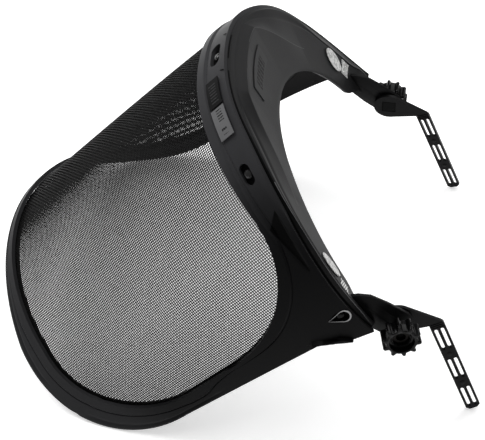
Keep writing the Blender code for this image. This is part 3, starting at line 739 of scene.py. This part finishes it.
ALL = (-1.0, 1.0)
# the guard's and the frame's colours carry painted shade and painted light from their shade functions
GUARD = finish("guard_plastic", (0.0142, 0.0142, 0.0148), 0.55, 0.10, 0.25, 1400.0, shade=guard_painted_shade)
FRAME = finish("frame_plastic", (0.0048, 0.0048, 0.0051), 0.42, 0.05, 0.10, 900.0, shade=frame_painted_light_and_shade)
# near-black for the painted shade in the gap under the guard and in the slits, and for the pivot bolts'
# own black
SHADOW_AND_BOLT_BLACK = finish("shadow_and_bolt_black", (0.0018, 0.0018, 0.0019), 0.50, 0.04)
# a painted highlight along the guard's edge
EDGE_HIGHLIGHT = finish("painted_edge_highlight", (0.110, 0.110, 0.112), 0.50, 0.10)
# a painted highlight along the guard's ridge
RIDGE_HIGHLIGHT = finish("painted_ridge_highlight", (0.040, 0.040, 0.041), 0.50, 0.12)
# a painted highlight round the end slots
RIM_HIGHLIGHT = finish("painted_rim_highlight", (0.38, 0.38, 0.385), 0.40, 0.20)
RING = finish("ring_plastic", (0.0180, 0.0180, 0.0187), 0.50, 0.05)
MESH = finish("mesh_black", (0.0040, 0.0040, 0.0040), 0.50, 0.06)
BRACKET = finish("bracket_plastic", (0.0048, 0.0048, 0.0051), 0.36, 0.06, 0.08, 900.0)
KNOB = finish("knob_plastic", (0.0020, 0.0020, 0.0022), 0.20, 0.11, 0.05, 900.0)
# zinc for the friction washers, and a painted reflection on the right knob's underside
ZINC_AND_KNOB_REFLECTION = finish("zinc_steel", (0.42, 0.42, 0.43), 0.34, 0.5, 0.10, 1200.0, metallic=1.0)
BLACK_STEEL = finish("black_stud", (0.010, 0.010, 0.010), 0.22, 0.5)
INSERT = finish("blackened_brass", (0.008, 0.0075, 0.0070), 0.40, 0.5, 0.10, 1200.0, metallic=1.0)
LABEL = finish("label_white", (0.62, 0.62, 0.61), 0.45, 0.2, vary=0.04, shade=ring_print)
PRINTED = {}
for label in SIDES:
    rows_of_print = printed("text_label_" + label, 680.0, (0.02, 0.02, 0.02), 0.46, ALL, ALL, "short")
    PRINTED[label] = finish(
        "label_printed_" + label, (0.66, 0.66, 0.65), 0.45, 0.2, vary=0.04, shade=rows_of_print
    )
TAG_DARK = finish("tag_dark", (0.0040, 0.0040, 0.0042), 0.50, 0.06, shade=printed(
    "tag_plate_dark", 520.0, (0.030, 0.030, 0.031), 0.35, (-0.0065, 0.0065), (-0.0026, 0.0026)))
SMALL_PRINT = printed(
    "tag_plate_light", 620.0, (0.010, 0.010, 0.010), 0.45, (-0.0080, -0.0010), (-0.0012, 0.0026))
BIG_PRINT = printed(
    "tag_plate_light", 300.0, (0.012, 0.012, 0.012), 0.40, (0.0014, 0.0070), (-0.0018, 0.0018))
TAG_LIGHT = finish(
    "tag_light", (0.110, 0.110, 0.113), 0.50, 0.1, vary=0.05,
    shade=lambda tree, coords, last: BIG_PRINT(tree, coords, SMALL_PRINT(tree, coords, last)),
)
BADGE = finish("badge_grey", (0.030, 0.030, 0.0308), 0.60, 0.08, shade=printed(
    "badge_plate", 300.0, (0.0010, 0.0010, 0.0010), 0.70, (-0.0120, 0.0120), (-0.0040, 0.0034)))


def paint(node, mat):
    item = frame["nodes"][node]
    item.data.materials.clear()
    item.data.materials.append(mat)


for label in SIDES:
    paint("pivot_bolt_" + label, SHADOW_AND_BOLT_BLACK)
    paint("friction_washer_" + label, ZINC_AND_KNOB_REFLECTION)
    paint("knob_insert_" + label, INSERT)
    paint("retaining_stud_" + label, BLACK_STEEL)
    paint("end_stud_" + label, KNOB)
    paint("round_label_" + label, LABEL)
paint("retaining_stud_centre", BLACK_STEEL)
paint("tag_plate_dark", TAG_DARK)
paint("tag_plate_light", TAG_LIGHT)
paint("mesh_retaining_ring", RING)

# ---- woven wire mesh -----------------------------------------------------------------------------


def visor_grid(degrees, heights):
    """visor_point and its outward, sideways and upward directions on a whole grid."""
    def points(deg, high, out):
        flare = 1 - np.exp(-np.maximum(0.0, FLARE_TOP - high) / FLARE_LENGTH)
        half_width = RIM_HALF_WIDTH + (CHIN_HALF_WIDTH - RIM_HALF_WIDTH) * flare
        depth = RIM_DEPTH + (CHIN_DEPTH - RIM_DEPTH) * flare
        centre_y = RIM_CENTRE_Y + (CHIN_CENTRE_Y - RIM_CENTRE_Y) * flare
        angle = np.radians(deg)
        level = 0 * half_width * angle
        normal = np.stack([np.sin(angle) / half_width, -np.cos(angle) / depth, level], -1)
        normal /= np.linalg.norm(normal, axis=-1, keepdims=True)
        turn = np.abs(deg)
        rise = np.clip(turn / BULGE_RISE, 0, 1)
        fall = np.clip((turn - BULGE_FALL[0]) / BULGE_FALL[1], 0, 1)
        bulge = rise * rise * (3 - 2 * rise) * (1 - fall * fall * (3 - 2 * fall))
        base = np.stack([
            half_width * np.sin(angle), centre_y - depth * np.cos(angle), high + 0 * angle,
        ], -1)
        return base + normal * (out + RIM_BULGE * (1 - flare) * bulge)[..., None]

    deg, high = np.meshgrid(degrees, heights, indexing="ij")
    middle = points(deg, high, MESH_OUT - MESH_THICK / 2)
    side = points(deg + 0.2, high, 0.0) - points(deg - 0.2, high, 0.0)
    up = points(deg, high + 0.0005, 0.0) - points(deg, high - 0.0005, 0.0)
    out = np.cross(side, up)
    unit = [v / np.linalg.norm(v, axis=-1, keepdims=True) for v in (out, side, up)]
    return middle, unit[0], unit[1], unit[2]


def wire_mesh(name):
    step = PITCH / ARC_PER_DEGREE
    limit = WINDOW_SIDE + (MESH_MARGIN - 0.0006) / ARC_PER_DEGREE
    count = int(limit / step)
    degrees = np.arange(-count, count + 1) * step
    heights = np.arange(WINDOW_BOTTOM - MESH_MARGIN, WINDOW_TOP + MESH_MARGIN, PITCH)
    middle, out, side, up = visor_grid(degrees, heights)
    low = np.array([window_bottom(abs(d), MESH_MARGIN - 0.0006) for d in degrees])
    high = np.array([window_top(abs(d), MESH_MARGIN - 0.0006) for d in degrees])
    inside = (heights[None, :] >= low[:, None]) & (heights[None, :] <= high[:, None])
    i, j = np.meshgrid(np.arange(len(degrees)), np.arange(len(heights)), indexing="ij")
    over = np.where((i + j) % 2 == 0, 1.0, -1.0)[..., None] * WIRE * 0.95
    verts = []
    faces = []
    start = 0
    for sign, across, axis in ((1.0, side, 1), (-1.0, up, 0)):
        corners = []
        for k in range(4):
            phi = math.pi / 4 + k * math.pi / 2
            shift = out * (sign * over + WIRE * math.cos(phi))
            shift = shift + across * (WIRE_WIDE * math.sin(phi))
            corners.append(middle + shift)
        verts.append(np.stack(corners, 2).reshape(-1, 3))
        index = start + 4 * (i * len(heights) + j)
        if axis == 1:
            here, there = index[:, :-1], index[:, 1:]
            keep = inside[:, :-1] & inside[:, 1:]
        else:
            here, there = index[:-1, :], index[1:, :]
            keep = inside[:-1, :] & inside[1:, :]
        here, there = here[keep], there[keep]
        for k in range(4):
            n = (k + 1) % 4
            quad = np.stack([here + k, here + n, there + n, there + k], -1)
            faces.append(quad if axis == 1 else quad[:, ::-1])
        start += verts[-1].shape[0]
    verts = np.concatenate(verts)
    faces = np.concatenate(faces)
    used = np.zeros(len(verts), bool)
    used[faces.ravel()] = True
    remap = np.cumsum(used) - 1
    mesh = bpy.data.meshes.new(name)
    mesh.from_pydata(verts[used].tolist(), [], remap[faces].tolist())
    return mesh


wires = place("woven_wire", wire_mesh("woven_wire"), SHIELD, MESH)
wires.data.shade_smooth()
piece(wires, "shield", "mesh_black", "mesh_screen")

# ---- visor frame ---------------------------------------------------------------------------------

COLUMNS = 168
ROWS = 44
visor = place(
    "frame_shell",
    grid_mesh(
        "frame_shell",
        frame_point,
        [i / COLUMNS for i in range(COLUMNS + 1)],
        [j / ROWS for j in range(ROWS + 1)],
        two_sided=True,
    ),
    Matrix.Identity(4),
    FRAME,
)
modifier(visor, "SOLIDIFY", thickness=FRAME_THICK, offset=-1.0, use_even_offset=False)
SLOTS = [(CENTRE_STUD, 0.0180, 0.0074, 0.0)]
for side in SIDES.values():
    SLOTS.append(((side * SIDE_STUD[0], SIDE_STUD[1]), 0.0125, 0.0062, -0.05 * side))
    SLOTS.append(((side * END_STUD[0], END_STUD[1]), 0.0098, 0.0066, END_TURN * side))
tools = []
for (angle, height), length, width, turn in SLOTS:
    mesh = plate_mesh("slot_tool", [slot_outline(length, width)], 0.006)
    mesh.transform(Matrix.Translation((0.0, 0.0, -0.004)))
    tool = place(
        "slot_tool", mesh, visor_frame_at(angle, height) @ Matrix.Rotation(turn, 4, "Z"), None
    )
    tools.append(tool)
    bpy.context.view_layer.update()
    modifier(visor, "BOOLEAN", operation="DIFFERENCE", solver="EXACT", object=tool)
bake(visor)
for tool in tools:
    bpy.data.objects.remove(tool)
smooth(visor, 32.0)
visor.matrix_world = SHIELD
piece(visor, "shield", "frame_plastic", "visor_frame")

# painted shade: a thin near-black plate for the dark inside of each slit
for label, spot in (("front", BRIDGE[1] + 0.3), ("side", -GAP_END)):
    slit_mesh = plate_mesh("slit_" + label, [slot_outline(SLIT_LENGTH, SLIT_WIDTH)], SLIT_RISE)
    slit_at = visor_frame_at(spot, crest(abs(spot)) - SLIT_DOWN) @ Matrix.Rotation(SLIT_TURN, 4, "Z")
    slit = place("slit_" + label, slit_mesh, SHIELD @ slit_at, SHADOW_AND_BOLT_BLACK)
    piece(slit, "shield", "frame_plastic")

# painted highlight: a light grey rim round each end slot
for label, side in SIDES.items():
    rim_outlines = [teardrop(*SURROUND), teardrop(*SURROUND_HOLE)]
    rim_mesh = plate_mesh("slot_rim_" + label, rim_outlines, SURROUND_RISE)
    if side < 0:
        rim_mesh.transform(Matrix.Diagonal((-1.0, 1.0, 1.0, 1.0)))
        rim_mesh.flip_normals()
    rim_at = visor_frame_at(side * END_STUD[0], END_STUD[1]) @ Matrix.Rotation(END_TURN * side, 4, "Z")
    rim = place("slot_rim_" + label, rim_mesh, SHIELD @ rim_at, RIM_HIGHLIGHT)
    piece(rim, "shield", "frame_plastic")

# ---- brow guard ----------------------------------------------------------------------------------

guard_rows = [j / 14 * 0.24 for j in range(15)]
guard_rows += [0.24 + j / 60 * 0.30 for j in range(1, 61)]
guard_rows += [0.54 + j / 16 * 0.46 for j in range(1, 17)]
GUARD_COLUMNS = 150


def guard_finish_at(column, row):
    """0 for the guard's own finish, 1 for painted shade in the gap, 2 for a painted highlight along its
    edge and 3 for a painted highlight on the ridge.
    """
    turned = column % GUARD_COLUMNS * GUARD_END / GUARD_COLUMNS
    v = guard_rows[row]
    gap_shadow_end = mix(*GAP_SHADOW_ENDS, ease((turned - 20.0) / 45.0))
    # the painted shade of the gap stops at a bridge beside the middle, and a little way along the right
    # side
    bridged = BRIDGE[0] < turned < BRIDGE[1] if column < GUARD_COLUMNS else turned > GAP_END
    if v < gap_shadow_end and not bridged:
        return 1
    if turned > EDGE_START_TURN and gap_shadow_end <= v < EDGE_END:
        return 2
    if RIDGE_HIGHLIGHT_TURNS[0] < turned < RIDGE_HIGHLIGHT_TURNS[1] and RIDGE_HIGHLIGHT_ROWS[0] < v < RIDGE_HIGHLIGHT_ROWS[1]:
        return 3
    return 0


guard_mesh = grid_mesh(
    "guard_shell",
    guard_point,
    [i / GUARD_COLUMNS for i in range(GUARD_COLUMNS + 1)],
    guard_rows,
    two_sided=True,
    finish_at=guard_finish_at,
)
guard = place("guard_shell", guard_mesh, SHIELD, GUARD)
# slots 1 to 3: painted shade in the gap, painted highlights on the edge and on the ridge
for mat in (SHADOW_AND_BOLT_BLACK, EDGE_HIGHLIGHT, RIDGE_HIGHLIGHT):
    guard.data.materials.append(mat)
modifier(guard, "SOLIDIFY", thickness=GUARD_THICK, offset=-1.0, use_even_offset=False)
bake(guard)
smooth(guard, 50.0)
piece(guard, "shield", "guard_plastic", "brow_guard")


def skin_plate(name, node, mat, slot, wider=1.0, taller=1.0, rise=0.00055):
    """A thin plate that follows the guard, from the outer face of a flat CAD plate.

    taller stretches it along its long direction and wider across it.
    """
    middle, long_way, short_way = plate_axes(node)
    shield_up = SHIELD.col[2].to_3d()
    bm = bmesh.new()
    bm.from_mesh(frame["nodes"][node].data)
    bm.normal_update()
    facing = max((face.normal for face in bm.faces), key=lambda normal: normal.dot(shield_up)).copy()
    turned_away = [face for face in bm.faces if face.normal.dot(facing) < 0.6]
    bmesh.ops.delete(bm, geom=turned_away, context="FACES")
    for vert in bm.verts:
        away = vert.co - middle
        vert.co += long_way * away.dot(long_way) * (taller - 1)
        vert.co += short_way * away.dot(short_way) * (wider - 1)
    bmesh.ops.subdivide_edges(bm, edges=bm.edges, cuts=6, use_grid_fill=True)
    mesh = bpy.data.meshes.new(name)
    bm.to_mesh(mesh)
    bm.free()
    item = place(name, mesh, Matrix.Identity(4), mat)
    bpy.context.view_layer.update()
    modifier(
        item, "SHRINKWRAP", target=guard, wrap_method="NEAREST_SURFACEPOINT",
        wrap_mode="ABOVE_SURFACE", offset=rise,
    )
    modifier(item, "SOLIDIFY", thickness=0.8 * rise, offset=-1.0)
    bake(item)
    smooth(item, 40.0)
    piece(item, "shield", slot, node)


skin_plate("badge_skin", "badge_plate", BADGE, "badge_grey")
for label in SIDES:
    skin_plate(
        "text_skin_" + label, "text_label_" + label, PRINTED[label], "label_white",
        wider=1.45, taller=1.08, rise=0.0003,
    )

# ---- pivots --------------------------------------------------------------------------------------


def ear_outline(side):
    top = [(-0.0370, -0.0050), (-0.0330, -0.0004), (-0.0270, 0.0034), (-0.0160, 0.0056)]
    round_end = []
    for i in range(25):
        angle = math.radians(90 - 180 * i / 24)
        round_end.append((EAR_ROUND * math.cos(angle) - 0.0010, EAR_ROUND * math.sin(angle) - 0.0022))
    bottom = [(-0.0120, -0.0135), (-0.0290, -0.0138), (-0.0360, -0.0112)]
    return [(side * back, up - PIVOT_Z) for back, up in top + round_end + bottom]


def bracket_outline(side):
    blade = Vector((math.cos(BLADE_SLOPE), math.sin(BLADE_SLOPE)))
    blade_up = Vector((-blade.y, blade.x))
    reach = BEND.length
    arm_angle = math.atan2(BEND.y, BEND.x)
    taper = math.acos((HEAD_RADIUS - BEND_RADIUS) / reach)
    tip = BEND + blade * BLADE_LENGTH
    heel = BEND - blade_up * BLADE_HALF + blade * BLADE_HEEL
    low_angle = math.atan2(heel.y, heel.x) - math.acos(HEAD_RADIUS / heel.length)
    points = [
        tip - blade_up * (BLADE_HALF - TIP_ROUND),
        tip + blade_up * (BLADE_HALF - TIP_ROUND),
        tip + blade_up * BLADE_HALF - blade * TIP_ROUND,
    ]
    blade_start = math.atan2(blade_up.y, blade_up.x)
    for i in range(13):
        angle = mix(blade_start, arm_angle + taper, i / 12)
        points.append(BEND + Vector((math.cos(angle), math.sin(angle))) * BEND_RADIUS)
    for i in range(41):
        angle = mix(arm_angle + taper, low_angle + 2 * math.pi, i / 40)
        points.append(Vector((math.cos(angle), math.sin(angle))) * HEAD_RADIUS)
    points.append(heel)
    points.append(tip - blade_up * BLADE_HALF - blade * TIP_ROUND)
    return [(side * p.x, p.y) for p in points]


def knob_rows():
    """(height, radius, share of the lobes) down the knob's skin, from bore round to dish."""
    top = KNOB_HEIGHT
    floor = KNOB_HEIGHT - DISH_DEEP
    edge = 0.0009
    return [
        (0.0, 0.0050, 0.0), (0.0, KNOB_RADIUS - 0.0010, 0.9), (edge * 0.3, KNOB_RADIUS - edge * 0.3, 1.0),
        (edge, KNOB_RADIUS, 1.0), (top * 0.5, KNOB_RADIUS, 1.0), (top - edge, KNOB_RADIUS, 1.0),
        (top - edge * 0.3, KNOB_RADIUS - edge * 0.3, 0.95), (top, KNOB_RADIUS - edge, 0.80),
        (top, DISH_RADIUS + 0.0004, 0.0), (top - 0.0003, DISH_RADIUS, 0.0),
        (floor + 0.0006, DISH_RADIUS - 0.0002, 0.0), (floor + 0.0001, DISH_RADIUS - 0.0008, 0.0),
        (floor, 0.0060, 0.0), (floor + 0.0010, 0.0057, 0.0), (floor + 0.0012, 0.0054, 0.0),
        (floor + 0.0012, 0.0050, 0.0), (floor + 0.0008, 0.0048, 0.0), (0.0, 0.0048, 0.0),
        (0.0, 0.0050, 0.0),
    ]


def lobe_share(angle):
    """1 on a lobe's crown and 0 in the hollow between two."""
    part = (angle * KNOB_LOBES / (2 * math.pi)) % 1.0
    away = min(part, 1 - part)
    return 1 - ease((away - 0.05) / 0.24)


def knob_mesh(name):
    rows = knob_rows()
    steps = 200
    verts = []
    for k in range(steps):
        angle = 2 * math.pi * k / steps
        share = lobe_share(angle)
        for height, radius, lobes in rows:
            reach = radius + KNOB_LOBE * 0.97 * share * lobes
            verts.append((reach * math.cos(angle), reach * math.sin(angle), height))
    count = len(rows)
    faces = []
    for k in range(steps):
        n = (k + 1) % steps
        for j in range(count - 1):
            faces.append((k * count + j, n * count + j, n * count + j + 1, k * count + j + 1))
    mesh = bpy.data.meshes.new(name)
    mesh.from_pydata(verts, [], faces)
    bm = bmesh.new()
    bm.from_mesh(mesh)
    bmesh.ops.remove_doubles(bm, verts=bm.verts, dist=1e-6)
    bmesh.ops.recalc_face_normals(bm, faces=bm.faces)
    bm.to_mesh(mesh)
    bm.free()
    return mesh


def box_mesh(name, size, centre=(0.0, 0.0, 0.0)):
    bm = bmesh.new()
    bmesh.ops.create_cube(bm, size=1.0)
    bmesh.ops.scale(bm, verts=bm.verts, vec=size)
    bmesh.ops.translate(bm, verts=bm.verts, vec=centre)
    mesh = bpy.data.meshes.new(name)
    bm.to_mesh(mesh)
    bm.free()
    return mesh


def stack_mesh(name, parts):
    """Joins small boxes and discs, given as (middle, size, turn); a disc has a radius and a depth."""
    bm = bmesh.new()
    for middle, size, turn in parts:
        matrix = Matrix.Translation(middle) @ Matrix.Rotation(turn, 4, "Z")
        if len(size) == 3:
            bmesh.ops.create_cube(bm, size=1.0, matrix=matrix @ Matrix.Diagonal((*size, 1.0)))
        else:
            bmesh.ops.create_cone(
                bm, cap_ends=True, segments=20, radius1=size[0], radius2=size[0], depth=size[1],
                matrix=matrix,
            )
    mesh = bpy.data.meshes.new(name)
    bm.to_mesh(mesh)
    bm.free()
    return mesh


def blade_details(side):
    """Ribs over the bend and small round marks along the blade."""
    blade = Vector((math.cos(BLADE_SLOPE), math.sin(BLADE_SLOPE)))
    middle = BRACKET_THICK / 2
    parts = []
    for k in range(3):
        spot = BEND + blade * (RIB_FIRST + RIB_PITCH * k)
        size = (RIB_WIDTH, 2 * BLADE_HALF - 2 * RIB_WIDTH, RIB_DEPTH)
        parts.append(((side * spot.x, spot.y, middle), size, BLADE_SLOPE * side))
    for k in range(3):
        spot = BEND + blade * (SLOT_FIRST + SLOT_PITCH * k + SLOT_LENGTH / 2)
        parts.append(((side * spot.x, spot.y, middle), (MARK_RADIUS, MARK_DEPTH), 0.0))
        if k < 2:
            spot = BEND + blade * (SLOT_FIRST + SLOT_PITCH * k + (SLOT_LENGTH + SLOT_PITCH) / 2)
            parts.append(((side * spot.x, spot.y, middle), (BIG_MARK_RADIUS, MARK_DEPTH), 0.0))
    return parts


RECESS_TURN = Matrix.Rotation(math.radians(45.0), 4, "Z")

for label, side in SIDES.items():
    pivot = pivot_frame(side)

    ear_mesh = plate_mesh("ear_" + label, [ear_outline(side), circle(HOLE_RADIUS)], EAR_THICK)
    ear = place("ear_" + label, ear_mesh, pivot @ plate_turn(EAR_IN), BRACKET)
    round_edges(ear, 0.0004)
    bake(ear)
    smooth(ear, 40.0)
    piece(ear, "shield", "guard_plastic")

    outlines = [bracket_outline(side)]
    for i in range(3):
        for offset in (-SLOT_OFFSET, SLOT_OFFSET):
            blade = Vector((math.cos(BLADE_SLOPE), math.sin(BLADE_SLOPE)))
            middle = SLOT_FIRST + SLOT_PITCH * i + SLOT_LENGTH / 2
            centre = BEND + blade * middle + Vector((-blade.y, blade.x)) * offset
            outlines.append(slot_outline(
                SLOT_LENGTH, SLOT_WIDTH, (side * centre.x, centre.y), BLADE_SLOPE * side, 5
            ))
    bracket_mesh = plate_mesh("bracket_" + label, outlines, BRACKET_THICK)
    bracket = place("bracket_" + label, bracket_mesh, pivot @ plate_turn(0.0), BRACKET)
    recess = place(
        "recess_tool",
        box_mesh("recess_tool", (RECESS, RECESS, 2 * RECESS_DEEP)),
        pivot @ plate_turn(0.0) @ RECESS_TURN,
        None,
    )
    bpy.context.view_layer.update()
    modifier(bracket, "BOOLEAN", operation="DIFFERENCE", solver="EXACT", object=recess)
    round_edges(bracket, 0.0003)
    bake(bracket)
    bpy.data.objects.remove(recess)
    smooth(bracket, 35.0)
    piece(bracket, "bracket_" + label, "bracket_plastic", "pivot_bracket_" + label)

    details = place(
        "blade_marks_" + label,
        stack_mesh("blade_marks_" + label, blade_details(side)),
        pivot @ plate_turn(0.0),
        BRACKET,
    )
    round_edges(details, 0.00015)
    bake(details)
    smooth(details, 40.0)
    piece(details, "bracket_" + label, "bracket_plastic")

    knob = place(
        "knob_skin_" + label,
        knob_mesh("knob_skin_" + label),
        pivot @ plate_turn(KNOB_IN + KNOB_BACKED_OFF[label]),
        KNOB,
    )
    if side < 0:
        # the right knob is tight; its flat underside is painted bright zinc as a painted reflection
        knob.data.materials.append(ZINC_AND_KNOB_REFLECTION)
        band = len(knob_rows()) - 1
        for k, face in enumerate(knob.data.polygons):
            if k % band == 0:
                face.material_index = 1
    smooth(knob, 38.0)
    piece(knob, "hand_knob_" + label, "knob_plastic", "knob_" + label)

# ---- studio --------------------------------------------------------------------------------------


def area_light(name, spot, target, size, power):
    light = bpy.data.lights.new(name, "AREA")
    light.shape = "DISK"
    light.size = size
    light.energy = power
    item = bpy.data.objects.new(name, light)
    bpy.context.scene.collection.objects.link(item)
    item.location = spot
    item.rotation_euler = (Vector(target) - Vector(spot)).to_track_quat("-Z", "Y").to_euler()


floor_mesh = bpy.data.meshes.new("floor")
floor_mesh.from_pydata([(-4, -4, 0), (4, -4, 0), (4, 4, 0), (-4, 4, 0)], [], [(0, 1, 2, 3)])
floor = place(
    "floor", floor_mesh, Matrix.Translation((0.0, 0.0, -0.0005)),
    finish("floor", (0.90, 0.90, 0.90), 0.9, 0.0, vary=0.01),
)
floor_shader = floor.data.materials[0].node_tree.nodes["Principled BSDF"]
floor_shader.inputs["Emission Color"].default_value = (1.0, 1.0, 1.0, 1.0)
floor_shader.inputs["Emission Strength"].default_value = 0.45

MIDDLE = (0.0, 0.0, 0.08)
area_light("key", (-0.5, -1.2, 1.3), MIDDLE, 1.0, 22.0)
area_light("fill", (-1.0, 0.7, 1.2), MIDDLE, 1.2, 9.0)
area_light("top", (-0.1, 0.1, 1.9), MIDDLE, 1.5, 14.0)

world = bpy.data.worlds.new("studio")
world.use_nodes = True
world.node_tree.nodes["Background"].inputs["Color"].default_value = (1.0, 1.0, 1.0, 1.0)
world.node_tree.nodes["Background"].inputs["Strength"].default_value = 0.22
bpy.context.scene.world = world

# the photograph's view, as the camera's place, its right, up and back, and its lens in mm
CAMERA_AT = (0.5296, 0.0468, 0.6187)
RIGHT = Vector((-0.0588, 0.9980, -0.0252))
UP = Vector((-0.7242, -0.0252, 0.6893))
BACK = Vector((0.6872, 0.0588, 0.7242))
LENS = 89.8

camera = bpy.data.objects.new("camera", bpy.data.cameras.new("camera"))
bpy.context.scene.collection.objects.link(camera)
camera.data.lens = LENS
camera.data.sensor_width = 36.0
look = Matrix((RIGHT, UP, BACK)).transposed().to_4x4()
camera.matrix_world = Matrix.Translation(CAMERA_AT) @ look
bpy.context.scene.camera = camera
bpy.context.scene.view_settings.view_transform = "Standard"
